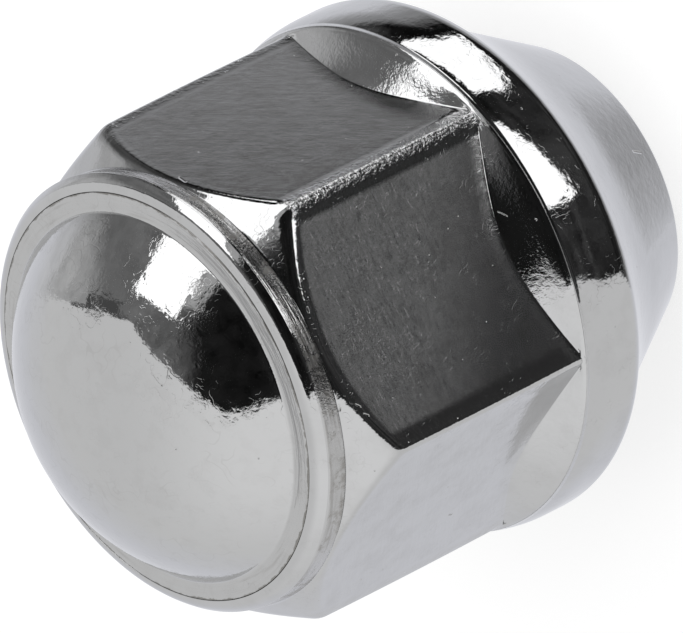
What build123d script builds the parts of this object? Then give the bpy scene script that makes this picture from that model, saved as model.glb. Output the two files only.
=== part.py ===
from build123d import *
from math import asin, cos, degrees, radians, sin, tan
import os

# Closed-end wheel nut: a cold-forged steel body with a hexagon, a round bulge and a
# conical seat, and a pressed steel dome that is crimped into its outer end.
# Millimetres. The axis of the thread is +Z, the dome is at the top, and the origin is
# in the middle of the face at the seat end. Two of the flats face -Y and +Y.

# Thread
thread_diameter = 12.0
thread_pitch = 1.5
countersink_margin = 0.35       # the mouth is wider than the thread, on the radius

# Conical seat
seat_angle = 60.0               # included angle of the cone
seat_height = 5.3
end_land = 0.75                 # flat ring between the thread's mouth and the cone
end_break = 0.15                # broken edge between that ring and the cone

# Bulge
bulge_overhang = 1.75           # how far the bulge stands out beyond the flats
bulge_under_height = 2.5        # sloping underside
bulge_band_height = 2.6         # widest part
bulge_crown = 0.12              # the band is barrel-shaped by this much
bulge_lower_radius = 1.4
bulge_upper_radius = 0.35
scoop_height = 1.9              # shoulder that rises from each flat to the bulge
scoop_hollow = 0.22             # depth of the hollow in that shoulder

# Hexagon
across_flats = 21.0
flat_length = 11.6              # along the middle of a flat
hex_edge_radius = 0.85
chamfer_angle = 46.0            # slope of the cone that cuts the top corners

# Turned collar and the lip that is rolled over the cap
collar_step = 0.06              # the collar is this much inside the flats
collar_height = 1.0
lip_width = 0.72
lip_rise = 0.5

# Dome cap
cap_clearance = 0.05            # between the brim's edge and the wall of its recess
cap_wall = 1.0
brim_width = 0.82
brim_thickness = 0.9
dome_height = 4.78
inner_cones = 3                 # the hidden inside of the dome is drawn as this many cones

# Worked out from the sizes above
thread_minor_radius = (thread_diameter - 1.0825 * thread_pitch) / 2
mouth_radius = thread_diameter / 2 + countersink_margin
seat_end_radius = mouth_radius + end_land + end_break
seat_top_radius = seat_end_radius + seat_height * tan(radians(seat_angle / 2))
flat_radius = across_flats / 2
corner_radius = flat_radius / cos(radians(30))
bulge_radius = flat_radius + bulge_overhang
collar_radius = flat_radius - collar_step
recess_radius = collar_radius - lip_width

bulge_bottom = seat_height + bulge_under_height
bulge_top = bulge_bottom + bulge_band_height
flat_bottom = bulge_top + scoop_height
flat_top = flat_bottom + flat_length
chamfer_slope = tan(radians(chamfer_angle))
collar_bottom = flat_top + collar_step * chamfer_slope
collar_top = collar_bottom + collar_height
lip_top = collar_top + lip_rise
recess_floor = lip_top - brim_thickness

brim_radius = recess_radius - cap_clearance
dome_base_radius = brim_radius - brim_width
dome_radius = (dome_base_radius**2 + dome_height**2) / (2 * dome_height)
dome_centre = lip_top + dome_height - dome_radius
dome_inner_radius = dome_radius - cap_wall

os.makedirs("parts", exist_ok=True)

# Body: the hexagon is forged, its top is turned, and the bulge is upset below it
with BuildPart() as nut_body:
    with BuildSketch(Plane.XY.offset(bulge_bottom)):
        RegularPolygon(radius=flat_radius, side_count=6, major_radius=False)
    extrude(amount=lip_top - bulge_bottom)
    fillet(nut_body.edges().filter_by(Axis.Z), radius=hex_edge_radius)

    # The chamfer's cone cuts the flats in arcs, and the collar and lip stand on it
    with BuildSketch(Plane.XZ):
        with BuildLine():
            Polyline(
                (0, bulge_bottom),
                (corner_radius, bulge_bottom),
                (corner_radius, collar_bottom - (corner_radius - collar_radius) * chamfer_slope),
                (collar_radius, collar_bottom),
                (collar_radius, collar_top),
                (recess_radius, lip_top),
                (0, lip_top),
                close=True,
            )
        make_face()
    revolve(axis=Axis.Z, mode=Mode.INTERSECT)

    # The seat, the bulge and the scooped shoulder run round the axis; where the hollow
    # shoulder meets the hexagon, every flat ends in an arc
    with BuildSketch(Plane.XZ) as bulge_profile:
        with BuildLine():
            seat_side = Polyline(
                (0, flat_bottom),
                (0, 0),
                (seat_end_radius - end_break, 0),
                (seat_end_radius, end_break),
                (seat_top_radius, seat_height),
                (bulge_radius, bulge_bottom),
            )
            band = ThreePointArc(
                seat_side @ 1,
                (bulge_radius + bulge_crown, (bulge_bottom + bulge_top) / 2),
                (bulge_radius, bulge_top),
            )
            shoulder_rise = Vector(flat_radius, flat_bottom) - (band @ 1)
            hollow_side = Vector(-shoulder_rise.Y, shoulder_rise.X).normalized()
            shoulder = ThreePointArc(
                band @ 1,
                (band @ 1) + shoulder_rise * 0.5 + hollow_side * scoop_hollow,
                (flat_radius, flat_bottom),
            )
            Line(shoulder @ 1, seat_side @ 0)
        make_face()
        lower_edge = bulge_profile.vertices().sort_by_distance((bulge_radius, bulge_bottom))[0]
        fillet(lower_edge, radius=bulge_lower_radius)
        upper_edge = bulge_profile.vertices().sort_by_distance((bulge_radius, bulge_top))[0]
        fillet(upper_edge, radius=bulge_upper_radius)
    revolve(axis=Axis.Z)

    # Recess for the brim of the cap, and the hole for the thread, countersunk at both ends
    with Locations((0, 0, lip_top)):
        Hole(radius=recess_radius, depth=brim_thickness)
    Hole(radius=thread_minor_radius)
    mouths = nut_body.edges().filter_by(GeomType.CIRCLE).filter_by(
        lambda edge: abs(edge.radius - thread_minor_radius) < 1e-6
    )
    chamfer(mouths, length=mouth_radius - thread_minor_radius)

# Cap: pressed from sheet, with a flat brim that sits in the recess under the lip
brim_start = degrees(asin((lip_top - dome_centre) / dome_radius))
inner_start = degrees(asin((recess_floor - dome_centre) / dome_inner_radius))
inner_rises = [
    radians(inner_start + (90 - inner_start) * step / inner_cones)
    for step in range(inner_cones + 1)
]
with BuildPart() as dome_cap:
    with BuildSketch(Plane.XZ):
        with BuildLine():
            outside = CenterArc((0, dome_centre), dome_radius, brim_start, 90 - brim_start)
            inside = Polyline([
                (dome_inner_radius * cos(rise), dome_centre + dome_inner_radius * sin(rise))
                for rise in inner_rises
            ])
            Line(outside @ 1, inside @ 1)
            Polyline(inside @ 0, (brim_radius, recess_floor), (brim_radius, lip_top), outside @ 0)
        make_face()
    revolve(axis=Axis.Z)

nut_body.part.label = "nut_body"
export_step(nut_body.part, "parts/nut_body.step")

dome_cap.part.label = "dome_cap"
export_step(dome_cap.part, "parts/dome_cap.step")
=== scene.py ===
import bpy
import numpy as np
from mathutils import Matrix


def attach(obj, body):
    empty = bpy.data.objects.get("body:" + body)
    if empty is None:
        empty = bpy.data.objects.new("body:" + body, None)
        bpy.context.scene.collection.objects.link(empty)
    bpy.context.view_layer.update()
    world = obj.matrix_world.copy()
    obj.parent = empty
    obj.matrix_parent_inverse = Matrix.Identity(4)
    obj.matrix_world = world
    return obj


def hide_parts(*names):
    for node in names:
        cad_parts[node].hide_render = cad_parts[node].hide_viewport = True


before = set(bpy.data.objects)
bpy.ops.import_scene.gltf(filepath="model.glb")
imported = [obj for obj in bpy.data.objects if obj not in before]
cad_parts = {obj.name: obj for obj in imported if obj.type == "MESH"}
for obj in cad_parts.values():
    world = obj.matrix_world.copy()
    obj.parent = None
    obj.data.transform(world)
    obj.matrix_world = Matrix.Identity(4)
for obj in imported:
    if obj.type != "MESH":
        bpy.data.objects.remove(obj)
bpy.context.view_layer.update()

# ---------------------------------------------------------------------------
# Camera
# A long lens over a metre away looks down on the dome end of the nut. It is
# rolled, so that the standing nut lies across the picture with its dome at
# the lower left.
# ---------------------------------------------------------------------------
MM = 0.001

sight = np.array([0.0726, -0.7979, 0.5984])
sight /= np.linalg.norm(sight)
upward = np.array([0.9137, -0.1873, -0.3605])
upward -= sight * (upward @ sight)
upward /= np.linalg.norm(upward)
across = np.cross(upward, sight)

picture_middle = np.array([0.06, -4.68, 17.76]) * MM
picture_width = 30.28 * MM
camera_distance = 1.25

camera_data = bpy.data.cameras.new("camera")
camera_data.sensor_width = 36.0
camera_data.lens = camera_data.sensor_width * camera_distance / picture_width
camera_data.clip_start = 0.05
camera_data.clip_end = 60.0
camera = bpy.data.objects.new("camera", camera_data)
camera_place = Matrix.Identity(4)
for column, direction in enumerate((across, upward, sight)):
    for row in range(3):
        camera_place[row][column] = direction[row]
for row in range(3):
    camera_place[row][3] = picture_middle[row] + camera_distance * sight[row]
camera.matrix_world = camera_place
bpy.context.scene.collection.objects.link(camera)
bpy.context.scene.camera = camera
bpy.context.scene.view_settings.view_transform = "Standard"


# ---------------------------------------------------------------------------
# Floor
# A plain matt sheet of white card, which the nut stands on. It is pure white
# to the camera apart from a soft shadow, and open from below.
# ---------------------------------------------------------------------------
class Wire:
    """A socket in a node tree. Sums and products with numbers or other wires add
    Math nodes, and node() adds any other kind."""

    def __init__(self, tree, socket=None):
        self.tree = tree
        self.socket = socket

    def node(self, kind, settings=None, inputs=None, output=0):
        """Add a node, make its settings, then fill its sockets with numbers or wires.
        The setting "stops" lists a ramp's places and greys."""
        made = self.tree.nodes.new(kind)
        settings = dict(settings or {})
        stops = settings.pop("stops", None)
        for name, value in settings.items():
            setattr(made, name, value)
        if stops:
            handles = made.color_ramp.elements
            for place, _ in stops[1:-1]:
                handles.new(place)
            for handle, (place, grey) in zip(handles, stops):
                handle.position = place
                handle.color = (grey, grey, grey, 1.0)
        for name, value in (inputs or {}).items():
            if isinstance(value, Wire):
                self.tree.links.new(value.socket, made.inputs[name])
            else:
                made.inputs[name].default_value = value
        if not made.outputs:
            return None
        return Wire(self.tree, made.outputs[output])

    def math(self, operation, *operands):
        """A Math node on these operands, the first of which may be a number."""
        return self.node("ShaderNodeMath", {"operation": operation}, dict(enumerate(operands)))

    def step(self, start, end):
        """A smooth step from 0 at start to 1 at end, where start may be the larger."""
        return self.node("ShaderNodeMapRange", {"interpolation_type": "SMOOTHSTEP"},
                         {"Value": self, "From Min": start, "From Max": end})

    def towards(self, other, share):
        """A blend of two values: this one where the share is 0, the other where it is 1."""
        return self + (other - self) * share

    def __add__(self, other):
        return self.math("ADD", self, other)

    __radd__ = __add__

    def __sub__(self, other):
        return self.math("SUBTRACT", self, other)

    def __rsub__(self, other):
        return self.math("SUBTRACT", other, self)

    def __mul__(self, other):
        return self.math("MULTIPLY", self, other)

    __rmul__ = __mul__

    def __truediv__(self, other):
        return self.math("DIVIDE", self, other)

    def __abs__(self):
        return self.math("ABSOLUTE", self)


floor_size = 8.0
floor_colour = (0.40, 0.40, 0.40, 1.0)
floor_glow = 0.70

edge = floor_size / 2
floor_mesh = bpy.data.meshes.new("floor")
floor_mesh.from_pydata(
    [(-edge, -edge, 0.0), (edge, -edge, 0.0), (edge, edge, 0.0), (-edge, edge, 0.0)],
    [], [(0, 1, 2, 3)])
floor = bpy.data.objects.new("floor", floor_mesh)
bpy.context.scene.collection.objects.link(floor)
floor.visible_glossy = False

card = bpy.data.materials.new("white_card")
card.use_nodes = True
card.node_tree.nodes.clear()
wires = Wire(card.node_tree)
camera_ray = wires.node("ShaderNodeLightPath", output="Is Camera Ray")
matt = wires.node("ShaderNodeBsdfDiffuse", None, {"Color": floor_colour})
glow = wires.node("ShaderNodeEmission", None, {"Strength": camera_ray * floor_glow})
lit = wires.node("ShaderNodeAddShader", None, {0: matt, 1: glow})
underside = wires.node("ShaderNodeNewGeometry", output="Backfacing")
clear = wires.node("ShaderNodeBsdfTransparent")
sheet = wires.node("ShaderNodeMixShader", None, {0: underside, 1: lit, 2: clear})
wires.node("ShaderNodeOutputMaterial", None, {"Surface": sheet})
floor_mesh.materials.append(card)

# ---------------------------------------------------------------------------
# Studio
# A white table and backdrop, a dark room above them and two soft boxes, one of
# them in two halves, which polished metal shows sharply. Matt surfaces see
# one even light, and a wide sun above gives the shadow.
# ---------------------------------------------------------------------------
even_light = 0.6
sun_strength = 1.4
box_strength = 1.78
table_dim, table_bright = 0.80, 0.99
gap_light = 0.09

world = bpy.data.worlds.new("studio")
bpy.context.scene.world = world
world.use_nodes = True
world.cycles.sampling_method = "NONE"
world.node_tree.nodes.clear()
wires = Wire(world.node_tree)
ray = wires.node("ShaderNodeTexCoord", output="Generated")


def part_along(direction):
    """How far the ray goes along a direction: their dot product."""
    return ray.node("ShaderNodeVectorMath", {"operation": "DOT_PRODUCT"},
                    {0: ray, 1: tuple(direction)}, output="Value")


# The room is laid out on a flat chart in degrees: a direction's distance from the middle
# is its angle from the sight line, and it keeps its bearing to the right and to the top
to_right = part_along(across)
to_top = part_along(upward)
off_sight = ray.math("SQRT", to_right * to_right + to_top * to_top + 1e-8)
angle = ray.math("ARCCOSINE", ray.math("MINIMUM", part_along(sight), 1.0)) * (180 / np.pi)
chart_x = angle * to_right / off_sight
chart_y = angle * to_top / off_sight


def by_x(low, high, stops):
    """A value between low and high, read from (chart x, value) pairs with straight runs
    between them."""
    shades = [((x + 180) / 360, (value - low) / (high - low)) for x, value in stops]
    shade = ray.node("ShaderNodeValToRGB", {"stops": shades}, {0: (chart_x + 180) / 360})
    return shade * (high - low) + low


def seen_on_panel(bearing):
    """Where the ray meets an upright plane that faces the nut from this bearing in degrees:
    its distances sideways and upwards, over the plane's distance, and 1 in front of it."""
    facing = np.array([np.cos(np.radians(bearing)), np.sin(np.radians(bearing)), 0.0])
    along = part_along(facing)
    distance = ray.math("MAXIMUM", along, 0.02)
    sideways = part_along((-facing[1], facing[0], 0.0)) / distance
    upwards = part_along((0.0, 0.0, 1.0)) / distance
    return sideways, upwards, along.step(0.02, 0.04)


def between(value, low, high, blur):
    """1 between two limits, and 0 outside them, with blurred edges."""
    return value.step(low - blur, low + blur) * value.step(high + blur, high - blur)


# The table fills the chart below this line, and the dark, blotchy room fills it above. The
# backdrop shows where the angle from the sight line is wide
table_edge = by_x(-40, 60, [
    (-180, 45), (-98.5, 25.7), (-60, 15), (-54, 5), (-44.7, -5.4), (-33, -15.7), (-23, -24),
    (-11.6, -31), (0, -30), (10, -25), (60, -10), (75, -8), (115, 3), (180, 20)])
room = by_x(0, 1, [
    (-180, 0.80), (-140, 0.78), (-110, 0.57), (-95, 0.52), (-85, 0.40), (-76, 0.18),
    (-62, 0.20), (-40, 0.16), (-24, 0.015), (0, 0.012), (40, 0.035), (60, 0.045),
    (72, 0.05), (80, 0.03), (90, 0.02), (105, 0.02), (118, 0.10), (150, 0.4), (180, 0.6)])
mottled = ray.node("ShaderNodeTexNoise", None,
                   {"Vector": ray, "Scale": 7.0, "Detail": 3.0, "Roughness": 0.6})
mottling = 0.35 + 0.65 * chart_x.step(-62, -38)
room = (room * ray.math("MAXIMUM", 1 + 3.2 * (mottled - 0.5) * mottling, 0.1)
        * (1 - 0.6 * chart_y.step(65, 95)))
backdrop = 0.42 * angle.step(116, 128) + 0.58 * angle.step(128, 146)
above_table = chart_y - table_edge
table = above_table.step(1.2, -1.2)
table_light = table_dim + (table_bright - table_dim) * (
    chart_x.step(-70, 5) * chart_x.step(60, 20) * chart_y.step(-130, -60))
walls = room.towards(table_dim, backdrop).towards(table_light, table)

# The long box stands to the right, in a lower and an upper half with a dark gap between
# them. It has a slanted top and a far edge that bows outwards, and a dim panel beside it
sideways, upwards, ahead = seen_on_panel(-10.2)
far_edge = (0.14 + 0.4 * ray.math("MAXIMUM", ray.math("MINIMUM", 0.3 - upwards, 0.3), 0.0)
            + 0.35 * ray.math("MAXIMUM", upwards - 0.6, 0.0))
top_edge = 0.92 + 0.714 * (0.31 - sideways)
long_box = (between(sideways, -0.42, far_edge, 0.012)
            * (between(upwards, -0.83, -0.25, 0.02) + between(upwards, 0.02, top_edge, 0.015))
            * ahead)
beside_box = between(sideways, -0.68, -0.43, 0.07) * between(upwards, 0.3, 1.15, 0.12) * ahead
# The short box stands in front, and its lower edge is curved
sideways, upwards, ahead = seen_on_panel(-65.0)
low_edge = 1.2 * sideways * sideways + 1.05 * sideways - 0.56
short_box = (between(sideways, -0.40, 0.36, 0.012) * between(upwards, low_edge, -0.06, 0.03)
             * ahead)
# A dark patch and a thin dark seam lie where the table meets the room on the left
dark_patch = between(chart_x, -87.0, -66.0, 0.8) * between(above_table, -0.5, 7.5, 0.6)
dark_seam = between(chart_x, -98.0, -60.0, 1.0) * between(above_table, -0.9, 0.6, 0.4)
gap = ray.math("MAXIMUM", dark_patch, dark_seam)
studio = (walls.towards(gap_light, gap) + 0.5 * beside_box
          + (long_box + short_box) * box_strength)

camera_ray = wires.node("ShaderNodeLightPath", output="Is Camera Ray")
mirror_ray = wires.node("ShaderNodeLightPath", output="Is Glossy Ray")
seen = (even_light * (1 - mirror_ray) + studio * mirror_ray).towards(1.0, camera_ray)
tint = wires.node("ShaderNodeMix", {"data_type": "RGBA"}, {
    0: backdrop * mirror_ray, 6: (1.0, 1.0, 1.0, 1.0), 7: (0.975, 0.985, 1.04, 1.0)}, output=2)
background = wires.node("ShaderNodeBackground", None, {"Color": tint, "Strength": seen})
wires.node("ShaderNodeOutputWorld", None, {"Surface": background})

sun_data = bpy.data.lights.new("wide_sun", "SUN")
sun_data.energy = sun_strength
sun_data.angle = np.radians(50)
sun = bpy.data.objects.new("wide_sun", sun_data)
sun.rotation_euler = (np.radians(30), np.radians(24), 0.0)
sun.visible_glossy = False
bpy.context.scene.collection.objects.link(sun)


# ---------------------------------------------------------------------------
# Nut body
# Cold-forged steel: a hexagon over a round bulge and a conical seat, with its
# dome end turned and rolled over the cap. It is tapped M12 x 1.5 from below
# and plated with bright nickel and chrome, which leaves pits and small nicks.
# ---------------------------------------------------------------------------
# Sizes are in millimetres, and heights are above the end face of the seat
flat_radius = 10.5
hex_edge_radius = 0.32
chamfer_slope = np.tan(np.radians(46))
collar_radius = 10.44
collar_bottom = 23.962
collar_top = 24.962
lip_crest_radius, lip_crest_height = 10.151, 25.375
lip_top = 25.462
recess_radius = 9.72
recess_floor = 24.562
flat_bottom = 12.3
flat_middle = 17.5
crown_across, crown_along = 0.045, 0.03
crown_reach = 5.0
flare_radius, flare_height = 0.06, 0.8
shoulder_hollow = 0.35
crest_slope = 1.0
arc_slope = 0.72
crest_height = 10.70
crest_blend = 0.42
bulge_edge_radius = 12.10
bulge_radius = 12.37
bulge_band_top, bulge_band_bottom = 9.9, 7.68
seat_top_radius, seat_height = 10.2, 5.3
seat_end_radius, end_ring_radius = 7.25, 7.12
thread_minor_radius = 5.188
thread_depth = 0.812
thread_pitch = 1.5
thread_bottom = 1.35
mouth_radius = 6.35
mouth_depth = mouth_radius - thread_minor_radius
cap_shift = 0.16

# Columns from the middle of a flat to an edge: up to these two angles in degrees, then on
flat_columns = 12
margin_columns = 6
edge_columns = 10
margin_start, edge_start = 25.4, 28.55


def polar_hexagon(azimuth):
    """Distance from the axis to a hexagon with rounded edges, in the direction azimuth.
    A flat is flat_radius / cos of the angle from its middle. Near an edge it is the far
    side of a circle of hex_edge_radius, whose centre is on the line to that edge."""
    from_edge = np.abs((azimuth + np.pi / 6) % (np.pi / 3) - np.pi / 6)
    centre = (flat_radius - hex_edge_radius) / np.cos(np.pi / 6)
    tangent = np.arctan2(hex_edge_radius / 2, centre + hex_edge_radius * np.cos(np.pi / 6))
    flat = flat_radius / np.cos(np.pi / 6 - from_edge)
    across_line = np.minimum(centre * np.sin(from_edge), hex_edge_radius)
    rounded = centre * np.cos(from_edge) + np.sqrt(hex_edge_radius**2 - across_line**2)
    return np.where(from_edge > tangent, flat, rounded)


def soft_min(first, second, blend):
    """The lesser of two values, with a parabola of height blend / 4 across their corner."""
    overlap = np.maximum(blend - np.abs(first - second), 0.0) / blend
    return np.minimum(first, second) - overlap**2 * blend / 4


def soft_max(first, second, blend):
    """The greater of two values, rounded in the same way."""
    return -soft_min(-first, -second, blend)


def turned_path(path, corner_rows=5):
    """Points (r, z) along straight runs whose corners are rounded. Each entry of path is
    r, z, corner radius and the number of rows on the run that follows. A corner is a
    quadratic curve, tangent to both runs where an arc of that radius would be."""
    corners = np.array([entry[:2] for entry in path], float)
    rows = [entry[3] for entry in path]
    pieces = [corners[:1]]
    for index in range(1, len(path)):
        radius = path[index][2]
        enter = leave = corners[index]
        if radius:
            back = corners[index - 1] - corners[index]
            ahead = corners[index + 1] - corners[index]
            back = back / np.linalg.norm(back)
            ahead = ahead / np.linalg.norm(ahead)
            turn = np.pi - np.arccos(back @ ahead)
            reach = radius * np.tan(turn / 2)
            enter = corners[index] + back * reach
            leave = corners[index] + ahead * reach
        share = np.linspace(0, 1, rows[index - 1] + 1)[1:, None]
        pieces.append(pieces[-1][-1] * (1 - share) + enter * share)
        if radius:
            share = np.linspace(0, 1, corner_rows + 1)[1:, None]
            pieces.append(enter * (1 - share)**2 + 2 * corners[index] * share * (1 - share)
                          + leave * share**2)
    return np.concatenate(pieces)


def shoulder_radius(height, arc, radius_there):
    """Radius of the hollow shoulder: a cubic curve from the crest of the bulge up to the arc
    in which the shoulder meets a flat, with its tangent beyond the arc. It starts
    at one slope and ends nearly along the middle of a flat, and steeper near the edges."""
    reach = np.maximum(arc - crest_height, 0.03)
    mean_slope = np.maximum(bulge_edge_radius - radius_there, 0.002) / reach
    leave = crest_slope / mean_slope
    meet = np.maximum(arc_slope + 2 * (mean_slope - 1.0), 0.3) / mean_slope
    rise = (height - crest_height) / reach
    inside = np.minimum(rise, 1.0)
    fall = (leave * (inside**3 - 2 * inside**2 + inside) + 3 * inside**2 - 2 * inside**3
            + meet * (inside**3 - inside**2) + meet * (rise - inside))
    return bulge_edge_radius - (bulge_edge_radius - radius_there) * fall


def eased(count, start=1.0, end=1.0):
    """Shares from 0 to 1, without the first, which crowd towards an end where its power
    is above 1."""
    share = np.linspace(0, 1, count + 1)[1:]
    return share**start / (share**start + (1 - share)**end)


def grid_faces(rows, columns, first=0):
    """Quads between neighbouring rows of a grid whose columns close into a ring."""
    row, column = np.meshgrid(np.arange(rows - 1), np.arange(columns), indexing="ij")
    after = (column + 1) % columns
    faces = np.stack([row * columns + column, (row + 1) * columns + column,
                      (row + 1) * columns + after, row * columns + after], axis=-1)
    return faces.reshape(-1, 4) + first


# Columns crowd into the rounded edges of the hexagon
half = np.concatenate([
    np.linspace(0, margin_start, flat_columns, endpoint=False),
    np.linspace(margin_start, edge_start, margin_columns, endpoint=False),
    np.linspace(edge_start, 30, edge_columns, endpoint=False)])
around_flat = np.concatenate([[-30.0], -half[:0:-1], half])
azimuth = np.radians((30 + 60 * np.arange(6))[:, None] + around_flat[None, :]).ravel()
columns = azimuth.size
hexagon = polar_hexagon(azimuth)
flat_bearing = np.radians(30 + 60 * np.floor(np.degrees(azimuth) / 60))
mean_edge_radius = 11.9
from_hex_edge = mean_edge_radius * np.abs(
    (azimuth + np.pi / 6) % (np.pi / 3) - np.pi / 6)

# Dome end: recess, rolled lip and turned collar, the same all round
collar = turned_path([
    (mouth_radius, recess_floor, 0, 3), (recess_radius, recess_floor, 0.06, 3),
    (recess_radius, lip_top, 0.05, 3), (lip_crest_radius, lip_crest_height, 0.7, 3),
    (collar_radius + 0.01, collar_top, 0.07, 8),
    (collar_radius, collar_bottom + 0.05, 0, 0)], 4)
collar_r = np.repeat(collar[:, :1], columns, axis=1)
collar_z = np.repeat(collar[:, 1:], columns, axis=1)

# Hexagon: the chamfer's cone, the flat and the shoulder. The rows follow the two arcs in
# which these meet, and a soft minimum and maximum round the arcs
chamfer_arc = collar_bottom - (hexagon - collar_radius) * chamfer_slope
fall = np.maximum((bulge_edge_radius - hexagon) / (bulge_edge_radius - flat_radius), 0.0)
shoulder_arc = crest_height + (flat_bottom - crest_height) * (
    1 + shoulder_hollow - np.sqrt((1 + shoulder_hollow)**2 - 4 * shoulder_hollow * fall)
) / (2 * shoulder_hollow)
crest_start = crest_height + 0.14
stations = np.stack([0 * hexagon + collar_bottom, chamfer_arc, chamfer_arc - 0.6,
                     shoulder_arc + 1.0, shoulder_arc + 0.05, shoulder_arc - 0.05,
                     0 * hexagon + crest_start])
shares = [eased(16, 1.0, 1.2), eased(10), eased(22), eased(12), eased(4), eased(12)]
hex_z = [stations[:1]]
for index, share in enumerate(shares):
    hex_z.append(stations[index] + (stations[index + 1] - stations[index]) * share[:, None])
hex_z = np.concatenate(hex_z)
chamfer_cone = collar_radius + (collar_bottom - hex_z) / chamfer_slope
flare = flare_radius * np.clip((shoulder_arc + flare_height - hex_z) / flare_height, 0, 1)**2
chamfer_blend = 0.28 + 0.34 * np.clip(1 - from_hex_edge / 3.2, 0, 1)**2
across_flat = hexagon * np.sin(azimuth - flat_bearing)
crown = (-crown_across * (across_flat / crown_reach)**2
         - crown_along * ((hex_z - flat_middle) / crown_reach)**2)
hex_r = soft_min(hexagon + flare + crown, chamfer_cone, chamfer_blend)
flat_at_arc = (hexagon + flare_radius - crown_across * (across_flat / crown_reach)**2
               - crown_along * ((shoulder_arc - flat_middle) / crown_reach)**2)
hex_r = soft_max(hex_r, shoulder_radius(hex_z, shoulder_arc, flat_at_arc), 0.012)

# Bulge, underside, conical seat, end ring and the mouth of the thread
crest_start_radius = float(hex_r[-1].mean())
bulge = turned_path([
    (crest_start_radius, crest_start, 0, 2),
    (bulge_edge_radius, crest_height, crest_blend, 2),
    (bulge_radius, bulge_band_top, 4.9, 1), (bulge_radius, bulge_band_bottom, 1.1, 3),
    (seat_top_radius, seat_height, 16.0, 10), (seat_end_radius, 0.12, 0.12, 2),
    (end_ring_radius, 0.0, 0.1, 3),
    (mouth_radius, 0.0, 0.08, 4), (thread_minor_radius, mouth_depth, 0, 0)], 7)[1:]
bulge_r = np.repeat(bulge[:, :1], columns, axis=1)
bulge_z = np.repeat(bulge[:, 1:], columns, axis=1)

outer_r = np.concatenate([collar_r, hex_r, bulge_r])
outer_z = np.concatenate([collar_z, hex_z, bulge_z])
outer_rows = outer_r.shape[0]

# Thread: each turn has the same few rows, which climb one pitch as they go round, so the
# last column of a row meets the first column of the row one turn above it
turn_share = np.array([0.0, 0.06, 0.12, 0.44, 0.48, 0.52, 0.56, 0.88])
turn_depth = np.array([0.0, 0.0, 0.04, 0.96, 1.0, 1.0, 0.96, 0.04])
turns = 13
turn_rows = turn_share.size
climb = (azimuth - azimuth[0]) / (2 * np.pi)
thread_share = (np.arange(turns)[:, None] + turn_share).ravel()
thread_share = np.append(thread_share, float(turns))
thread_end_depth = np.append(np.tile(turn_depth, turns), 0.0)
thread_z = thread_bottom + thread_pitch * (thread_share[:, None] + climb)
thread_r = thread_minor_radius + thread_depth * np.repeat(
    thread_end_depth[:, None], columns, axis=1)
top_mouth = np.array([[thread_minor_radius, recess_floor - mouth_depth]])
top_r = np.repeat(top_mouth[:, :1], columns, axis=1)
top_z = np.repeat(top_mouth[:, 1:], columns, axis=1)

body_r = np.concatenate([outer_r, thread_r, top_r])
body_z = np.concatenate([outer_z, thread_z, top_z])

# The lip and the recess were rolled a little off the axis
lip_share = np.zeros(body_r.shape[0])
lip_share[:collar_r.shape[0]] = np.clip(
    (collar[:, 1] - collar_bottom) / (collar_top - collar_bottom), 0, 1)
body_x = body_r * np.cos(azimuth) + cap_shift * lip_share[:, None]
body_y = body_r * np.sin(azimuth)
body_points = np.stack([body_x, body_y, body_z], axis=-1).reshape(-1, 3)

rows = body_r.shape[0]
thread_first = outer_rows * columns
thread_rows = thread_r.shape[0]
top_first = (outer_rows + thread_rows) * columns
outer_faces = grid_faces(outer_rows, columns)

row, column = np.meshgrid(np.arange(thread_rows - 1), np.arange(columns - 1), indexing="ij")
corner = thread_first + row * columns + column
thread_faces = np.stack([corner, corner + columns, corner + 1 + columns, corner + 1], axis=-1)
row = np.arange(thread_rows - 1 - turn_rows)
last = thread_first + row * columns + columns - 1
first = thread_first + (row + turn_rows) * columns
wrap_faces = np.stack([last, last + columns, first + columns, first], axis=-1)

column = np.arange(columns - 1)
ring = (outer_rows - 1) * columns + column
bottom_faces = np.stack([ring, thread_first + column, thread_first + column + 1, ring + 1],
                        axis=-1)
top_row = thread_first + (thread_rows - 1) * columns + column
top_faces = np.stack([top_row, top_first + column, top_first + column + 1, top_row + 1],
                     axis=-1)
recess_column = np.arange(columns)
recess_after = (recess_column + 1) % columns
mouth_faces = np.stack([top_first + recess_column, recess_column,
                        recess_after, top_first + recess_after], axis=-1)
start_gap = ([(outer_rows - 1) * columns + columns - 1, (outer_rows - 1) * columns]
             + [thread_first + k * columns for k in range(turn_rows + 1)]
             + [thread_first + columns - 1])
end_gap = ([thread_first + (thread_rows - 1 - k) * columns + columns - 1
            for k in range(turn_rows, -1, -1)]
           + [top_first + columns - 1, top_first, thread_first + (thread_rows - 1) * columns])

faces = np.concatenate([outer_faces, thread_faces.reshape(-1, 4), wrap_faces, bottom_faces,
                        top_faces, mouth_faces]).tolist() + [start_gap[::-1], end_gap]
body_mesh = bpy.data.meshes.new("nut_body_plated")
body_mesh.from_pydata((body_points * MM).tolist(), [], faces)
body_mesh.validate()
body_mesh.polygons.foreach_set("use_smooth", np.ones(len(body_mesh.polygons), bool))
body_mesh.update()
body = bpy.data.objects.new("nut_body_plated", body_mesh)
bpy.context.scene.collection.objects.link(body)


def zone(mesh, name, shares):
    """Store one number from 0 to 1 for each vertex, which the material reads by name."""
    layer = mesh.attributes.new(name, "FLOAT", "POINT")
    layer.data.foreach_set("value", np.ascontiguousarray(shares, np.float32).ravel())


def fade(value, start, end):
    """A smooth step from 0 at start to 1 at end, where start may be the larger."""
    share = np.clip((value - start) / (end - start), 0, 1)
    return share * share * (3 - 2 * share)


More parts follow.
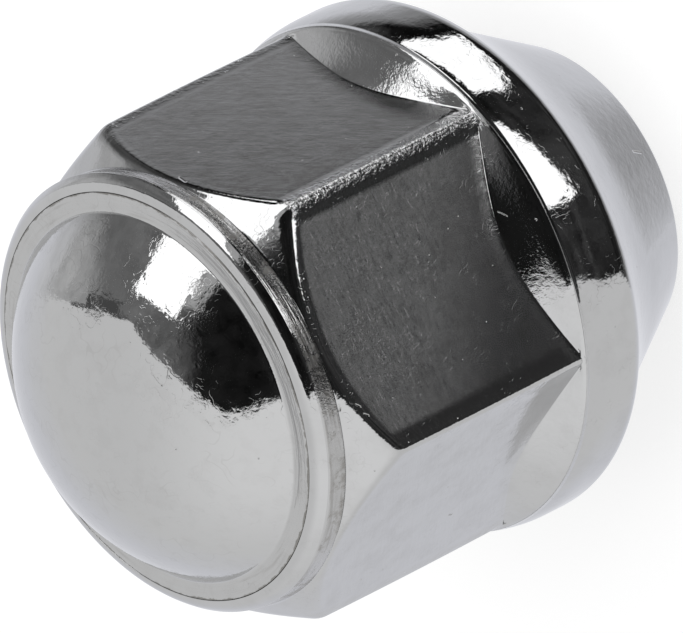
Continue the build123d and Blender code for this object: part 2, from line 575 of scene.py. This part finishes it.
# The zones of the surface: the ground flats, the beaded plating along the hexagon's edges
# and arcs, the pitted shoulders and the turned side of the collar
hex_rows = slice(collar_r.shape[0], collar_r.shape[0] + hex_r.shape[0])
below_chamfer = chamfer_cone - hexagon
above_shoulder = hex_z - shoulder_arc
on_flat = np.zeros(body_r.shape)
on_flat[hex_rows] = fade(above_shoulder, -0.02, 0.05)
ground = np.zeros(body_r.shape)
ground[hex_rows] = (fade(below_chamfer, 0.42, 0.62) * fade(above_shoulder, 0.0, 0.25)
                    * fade(from_hex_edge, 0.72, 0.98))
# Some flats were ground more than others
flat_number = np.floor(np.degrees(azimuth) / 60).astype(int) % 6
flat_wear = np.array([0.9, 0.8, 0.9, 0.3, 0.8, 1.0])
ground *= flat_wear[flat_number]
zone(body_mesh, "ground", ground)
# A thin grey haze lies on one flat, and clears towards its lower corner
from_corner = 0.10 * (body_z - flat_bottom) + 0.06 * (body_r * np.cos(azimuth) + 6.0)
hazed_flat = 4
zone(body_mesh, "hazed", ground * (flat_number == hazed_flat) * fade(from_corner, 0.25, 0.95))
speckled = np.zeros(body_r.shape)
speckled[hex_rows] = np.maximum(
    fade(from_hex_edge, 0.75, 0.15) * fade(below_chamfer, -0.1, 0.2),
    0.12 * fade(below_chamfer, 0.0, 0.15) * fade(below_chamfer, 0.62, 0.4))
edge_roughness = np.array([0.5, 0.7, 0.4, 0.6, 0.15, 1.0])
nearest_edge = np.round(np.degrees(azimuth) / 60).astype(int) % 6
zone(body_mesh, "speckled", speckled * on_flat * edge_roughness[nearest_edge])
pitted = np.zeros(body_r.shape)
pitted[hex_rows] = (fade(above_shoulder, 0.05, -0.02)
                    * fade(hex_z, crest_height + 0.1, crest_height + 0.5))
zone(body_mesh, "pitted", pitted)
turned = np.zeros(body_r.shape)
turned[:collar_r.shape[0]] = fade(collar[:, 1], collar_top - 0.02, collar_top - 0.1)[:, None]
zone(body_mesh, "turned", turned * (body_r > recess_radius + 0.3))

# Each flat was ground in its own direction, given as an angle from the nut's axis. The
# attribute holds millimetres along that direction and across it, and the flat's number
grinding = np.radians(np.array([64.0, 82.0, 58.0, 74.0, 88.0, 51.0]))
turn = grinding[flat_number]
along_flat = body_r * np.sin(azimuth - flat_bearing)
streak_place = np.stack([
    body_z * np.cos(turn) + along_flat * np.sin(turn),
    along_flat * np.cos(turn) - body_z * np.sin(turn),
    0 * body_z + 7.3 * flat_number], axis=-1)
layer = body_mesh.attributes.new("streak_place", "FLOAT_VECTOR", "POINT")
layer.data.foreach_set("vector", streak_place.astype(np.float32).ravel())

plate = bpy.data.materials.new("body_chrome_plate")
plate.use_nodes = True
plate.node_tree.nodes.clear()
wires = Wire(plate.node_tree)


def placed(wires, scale):
    """Object coordinates in millimetres, times one scale or a scale for each axis."""
    place = wires.node("ShaderNodeTexCoord", output="Object")
    return wires.node("ShaderNodeVectorMath", {"operation": "MULTIPLY"},
                      {0: place, 1: tuple(np.ones(3) * scale / MM)})


def noise(wires, scale, detail=2.0, rough=0.5, place=None):
    """Smooth noise from 0 to 1, with so many waves in a millimetre. A place already holds
    its own scale."""
    where = place if place else placed(wires, scale)
    return wires.node("ShaderNodeTexNoise", None,
                      {"Vector": where, "Scale": 1.0, "Detail": detail, "Roughness": rough})


def ring_noise(wires, scale):
    """Noise in fine rings about the axis, with so many waves in a millimetre of radius and
    height. The rings change slowly as they go round."""
    place = wires.node("ShaderNodeTexCoord", output="Object")
    flat_place = wires.node("ShaderNodeVectorMath", {"operation": "MULTIPLY"},
                            {0: place, 1: (1 / MM, 1 / MM, 0.0)})
    from_axis = wires.node("ShaderNodeVectorMath", {"operation": "DISTANCE"},
                           {0: flat_place, 1: (cap_shift, 0.0, 0.0)}, output="Value")
    height = wires.node("ShaderNodeVectorMath", {"operation": "DOT_PRODUCT"},
                        {0: place, 1: (0.0, 0.0, 1 / MM)}, output="Value")
    around = wires.node("ShaderNodeVectorMath", {"operation": "MULTIPLY"},
                        {0: flat_place, 1: (0.3, 0.3, 1.0)})
    outwards = wires.node("ShaderNodeCombineXYZ", None, {"Z": (from_axis + height) * scale})
    return noise(wires, 1, 2.0, 0.6, wires.node(
        "ShaderNodeVectorMath", {"operation": "ADD"}, {0: around, 1: outwards}))


def hairlines(wires, scale):
    """1 on hair-thin scratches that curl about, and 0 beside them. They follow one level
    of a smooth noise, only in patches."""
    patches = noise(wires, 0.35 * scale, 2.0, 0.5)
    return (abs(noise(wires, scale, 1.0, 0.5) - 0.5).step(0.022, 0.008)
            * patches.step(0.50, 0.62))


def specks(wires, scale, share, radius):
    """1 on small round spots and 0 between them. There is at most one spot in a cell, of
    which there are so many in a millimetre, and only this share of the cells has one."""
    cell = {"Vector": placed(wires, scale), "Scale": 1.0}
    distance = wires.node("ShaderNodeTexVoronoi", None, cell, output="Distance")
    lot = wires.node("ShaderNodeTexVoronoi", None, cell, output="Color")
    return (distance.step(radius * scale, radius * scale * 0.3)
            * (lot * 1.0).step(share + 0.02, share))


def marked(wires, name):
    """The number that zone() stored under this name."""
    return wires.node("ShaderNodeAttribute", {"attribute_name": name}, output="Fac")


def tinted(wires, first, second, share):
    """A blend of two colours."""
    return wires.node("ShaderNodeMix", {"data_type": "RGBA"},
                      {0: share, 6: first, 7: second}, output=2)


def scratch(wires, start, end, width):
    """1 on a fine straight line between two points, and 0 beside it: the distance is taken
    from the point to the nearest place on the line."""
    start, end = np.array(start) * MM, np.array(end) * MM
    place = wires.node("ShaderNodeTexCoord", output="Object")
    offset = wires.node("ShaderNodeVectorMath", {"operation": "SUBTRACT"},
                        {0: place, 1: tuple(start)})
    line = end - start
    share = wires.node("ShaderNodeVectorMath", {"operation": "DOT_PRODUCT"},
                       {0: offset, 1: tuple(line / (line @ line))}, output="Value")
    share = wires.math("MAXIMUM", wires.math("MINIMUM", share, 1.0), 0.0)
    nearest = wires.node("ShaderNodeVectorMath", {"operation": "SCALE"},
                         {0: tuple(line), "Scale": share})
    distance = wires.node("ShaderNodeVectorMath", {"operation": "DISTANCE"},
                          {0: offset, 1: nearest}, output="Value")
    return distance.step(width * MM, width * MM * 0.2)


ground = marked(wires, "ground")
speckled = marked(wires, "speckled")
pitted = marked(wires, "pitted")
turned = marked(wires, "turned")

# Streaks from grinding run along a flat's own direction
streak_field = wires.node("ShaderNodeAttribute", {"attribute_name": "streak_place"},
                          output="Vector")
fine_streaks = noise(wires, 1, 3.0, 0.65, wires.node(
    "ShaderNodeVectorMath", {"operation": "MULTIPLY"}, {0: streak_field, 1: (1.3, 10.0, 1.0)}))
long_streaks = noise(wires, 1, 2.0, 0.5, wires.node(
    "ShaderNodeVectorMath", {"operation": "MULTIPLY"}, {0: streak_field, 1: (0.22, 3.0, 1.0)}))
clouds = noise(wires, 0.7, 3.0, 0.6)
peel = noise(wires, 2.4, 2.0, 0.5)
crumple = noise(wires, 4.2, 3.0, 0.6)
grain = noise(wires, 9.0, 2.0, 0.6)
rings = ring_noise(wires, 11.0)
grooves = ring_noise(wires, 3.4)
stain = noise(wires, 0.9, 3.0, 0.7).step(0.50, 0.66)
pits = specks(wires, 1.7, 0.16, 0.07)
nodules = specks(wires, 3.6, 0.3, 0.08)
dust = specks(wires, 1.9, 0.14, 0.035) * ground
haze = 0.2 * marked(wires, "hazed") * wires.math(
    "MAXIMUM", 3.4 * fine_streaks + 1.8 * grain - 1.6, 0.1)
hairs = hairlines(wires, 2.6)

# Single nicks, each from one point to another and so wide
nicks = (scratch(wires, (8.62, -5.95, 23.62), (8.92, -5.55, 23.52), 0.09)
         + scratch(wires, (1.42, -10.44, 23.64), (1.62, -10.46, 23.6), 0.06)
         + scratch(wires, (1.30, -10.85, 11.76), (1.62, -10.62, 11.95), 0.05)
         + scratch(wires, (1.62, -10.62, 11.95), (1.50, -10.72, 11.6), 0.05)
         + scratch(wires, (-3.17, -10.46, 23.3), (-3.35, -10.44, 23.12), 0.05)
         + scratch(wires, (-3.7, -10.46, 23.1), (-3.86, -10.44, 22.9), 0.05)
         + scratch(wires, (1.10, -8.12, 1.72), (0.86, -7.75, 1.12), 0.09)
         + scratch(wires, (-10.10, -3.50, 15.80), (-10.15, -3.40, 15.60), 0.08)
         + scratch(wires, (-3.02, -10.03, 23.85), (-3.12, -9.98, 23.9), 0.08))

# Relief in millimetres
relief = (0.008 * peel + 0.0012 * grain - 0.001 * hairs
          + ground * (0.0026 * fine_streaks + 0.002 * long_streaks + 0.0006 * grain)
          + pitted * (0.016 * crumple + 0.004 * grain)
          + speckled * (0.012 * grain + 0.060 * crumple + 0.050 * nodules)
          + turned * (0.012 * rings + 0.05 * grooves + 0.016 * grain)
          - 0.018 * pits - 0.05 * nicks)
bump = wires.node("ShaderNodeBump", None,
                  {"Strength": 1.0, "Distance": MM, "Height": relief})
roughness = (0.035 + 0.03 * clouds + ground * (0.10 + 0.09 * long_streaks)
             + 0.03 * speckled + 0.03 * pitted + turned * (0.16 + 0.20 * stain))
worn = (ground * (1.5 * fine_streaks + 0.6 * long_streaks + 0.9 * clouds - 1.2)
        + turned * (0.1 + 0.6 * rings + 0.6 * grooves.step(0.5, 0.62)) + 0.5 * pits
        + 0.2 * hairs + 0.16 * clouds.step(0.42, 0.7) + nicks)
clean_colour = (0.575, 0.577, 0.582, 1.0)
worn_colour = (0.41, 0.405, 0.40, 1.0)
stain_colour = (0.21, 0.19, 0.16, 1.0)
dust_colour = (0.80, 0.80, 0.78, 1.0)
colour = tinted(wires, clean_colour, worn_colour,
                wires.math("MAXIMUM", wires.math("MINIMUM", worn, 1.0), 0.0))
colour = tinted(wires, colour, stain_colour, 0.4 * turned * stain)
colour = tinted(wires, colour, dust_colour, dust)
chrome = wires.node("ShaderNodeBsdfPrincipled", None, {
    "Base Color": colour, "Metallic": 1 - dust - haze,
    "Roughness": roughness, "Normal": bump})
wires.node("ShaderNodeOutputMaterial", None, {"Surface": chrome})
body_mesh.materials.append(plate)

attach(body, "root")
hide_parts("nut_body")

# ---------------------------------------------------------------------------
# Dome cap
# A dome pressed from steel sheet, with a narrow flat brim. It sits in the
# recess of the body, whose lip is rolled over the brim, and is plated with it.
# ---------------------------------------------------------------------------
# Sizes are in millimetres
brim_radius = 9.708
brim_bottom = recess_floor + 0.01
brim_inner_radius = 8.1
dome_base_radius = 8.85
dome_height = 4.76
dome_root_radius = 0.3
cap_wall = 1.0

cap_columns = 240
cap_azimuth = np.linspace(0, 2 * np.pi, cap_columns, endpoint=False)
dome_radius = (dome_base_radius**2 + dome_height**2) / (2 * dome_height)
dome_centre = lip_top + dome_height - dome_radius
base_rise = np.arcsin((lip_top - dome_centre) / dome_radius)
rise = base_rise + (np.pi / 2 - base_rise) * np.linspace(1, 0, 64)[1:-1]
dome = np.stack([dome_radius * np.cos(rise), dome_centre + dome_radius * np.sin(rise)], axis=-1)
brim = turned_path([
    (*dome[-1], 0, 1), (dome_base_radius, lip_top, dome_root_radius, 6),
    (brim_radius, lip_top, 0.06, 3), (brim_radius, brim_bottom, 0.05, 3),
    (brim_inner_radius, brim_bottom, 0, 0)], 5)[1:]
inner_radius = dome_radius - cap_wall
inner_base = np.arcsin((brim_bottom - dome_centre) / inner_radius)
rise = inner_base + (np.pi / 2 - inner_base) * np.linspace(0, 1, 30)[:-1]
inner = np.stack([inner_radius * np.cos(rise), dome_centre + inner_radius * np.sin(rise)],
                 axis=-1)
cap_path = np.concatenate([dome, brim, inner])
cap_rows = cap_path.shape[0]
cap_r = np.repeat(cap_path[:, :1], cap_columns, axis=1)
cap_z = np.repeat(cap_path[:, 1:], cap_columns, axis=1)
cap_points = np.stack([cap_r * np.cos(cap_azimuth) + cap_shift,
                       cap_r * np.sin(cap_azimuth), cap_z], axis=-1).reshape(-1, 3)
outer_pole = cap_points.shape[0]
poles = np.array([[cap_shift, 0, dome_centre + dome_radius],
                  [cap_shift, 0, dome_centre + inner_radius]])
cap_points = np.concatenate([cap_points, poles])
column = np.arange(cap_columns)
after = (column + 1) % cap_columns
outer_fan = np.stack([0 * column + outer_pole, after, column], axis=-1)
last_row = (cap_rows - 1) * cap_columns
inner_fan = np.stack([0 * column + outer_pole + 1, last_row + column, last_row + after],
                     axis=-1)
cap_faces = grid_faces(cap_rows, cap_columns).tolist()
cap_faces += outer_fan[:, ::-1].tolist() + inner_fan[:, ::-1].tolist()
cap_mesh = bpy.data.meshes.new("dome_cap_plated")
cap_mesh.from_pydata((cap_points * MM).tolist(), [], cap_faces)
cap_mesh.polygons.foreach_set("use_smooth", np.ones(len(cap_mesh.polygons), bool))
cap_mesh.update()
cap = bpy.data.objects.new("dome_cap_plated", cap_mesh)
bpy.context.scene.collection.objects.link(cap)

plate = bpy.data.materials.new("cap_chrome_plate")
plate.use_nodes = True
plate.node_tree.nodes.clear()
wires = Wire(plate.node_tree)
place = wires.node("ShaderNodeTexCoord", output="Object")
flat_place = wires.node("ShaderNodeVectorMath", {"operation": "MULTIPLY"},
                        {0: place, 1: (1 / MM, 1 / MM, 0.0)})
from_axis = wires.node("ShaderNodeVectorMath", {"operation": "DISTANCE"},
                       {0: flat_place, 1: (cap_shift, 0.0, 0.0)}, output="Value")
on_brim = from_axis.step(dome_base_radius - 0.1, dome_base_radius + 0.1)
rings = ring_noise(wires, 14.0)
grooves = ring_noise(wires, 4.0)
peel = noise(wires, 3.0, 2.0, 0.5)
grain = noise(wires, 9.0, 2.0, 0.6)
clouds = noise(wires, 0.9, 3.0, 0.6)
veil = clouds.step(0.50, 0.62)
pits = specks(wires, 1.3, 0.22, 0.06)
hairs = hairlines(wires, 1.1) + 0.6 * hairlines(wires, 2.3)
# Relief in millimetres
relief = (0.004 * peel + 0.001 * grain + on_brim * (0.006 * rings + 0.030 * grooves)
          + 0.006 * veil * grain - 0.0015 * hairs - 0.014 * pits)
bump = wires.node("ShaderNodeBump", None,
                  {"Strength": 1.0, "Distance": MM, "Height": relief})
worn = on_brim * (0.3 * rings + 0.5 * grooves.step(0.55, 0.75)) + 0.5 * pits + 0.22 * hairs
clean_colour = (0.575, 0.577, 0.580, 1.0)
worn_colour = (0.43, 0.425, 0.42, 1.0)
# The next colour is painted shade for the seam round the brim
seam_shade_colour = (0.14, 0.13, 0.11, 1.0)
colour = tinted(wires, clean_colour, worn_colour, worn + 0.14 * clouds.step(0.45, 0.7))
# Painted shade darkens the brim's outer edge by the seam with the lip, in a ragged line
seam_shade = (from_axis + 0.36 * noise(wires, 1.6, 3.0, 0.6)).step(9.80, 9.86)
colour = tinted(wires, colour, seam_shade_colour, 0.65 * seam_shade)
chrome = wires.node("ShaderNodeBsdfPrincipled", None, {
    "Base Color": colour, "Metallic": 1.0,
    "Roughness": 0.035 + 0.05 * veil + on_brim * (0.08 + 0.08 * rings), "Normal": bump})
wires.node("ShaderNodeOutputMaterial", None, {"Surface": chrome})
cap_mesh.materials.append(plate)

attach(cap, "root")
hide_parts("dome_cap")
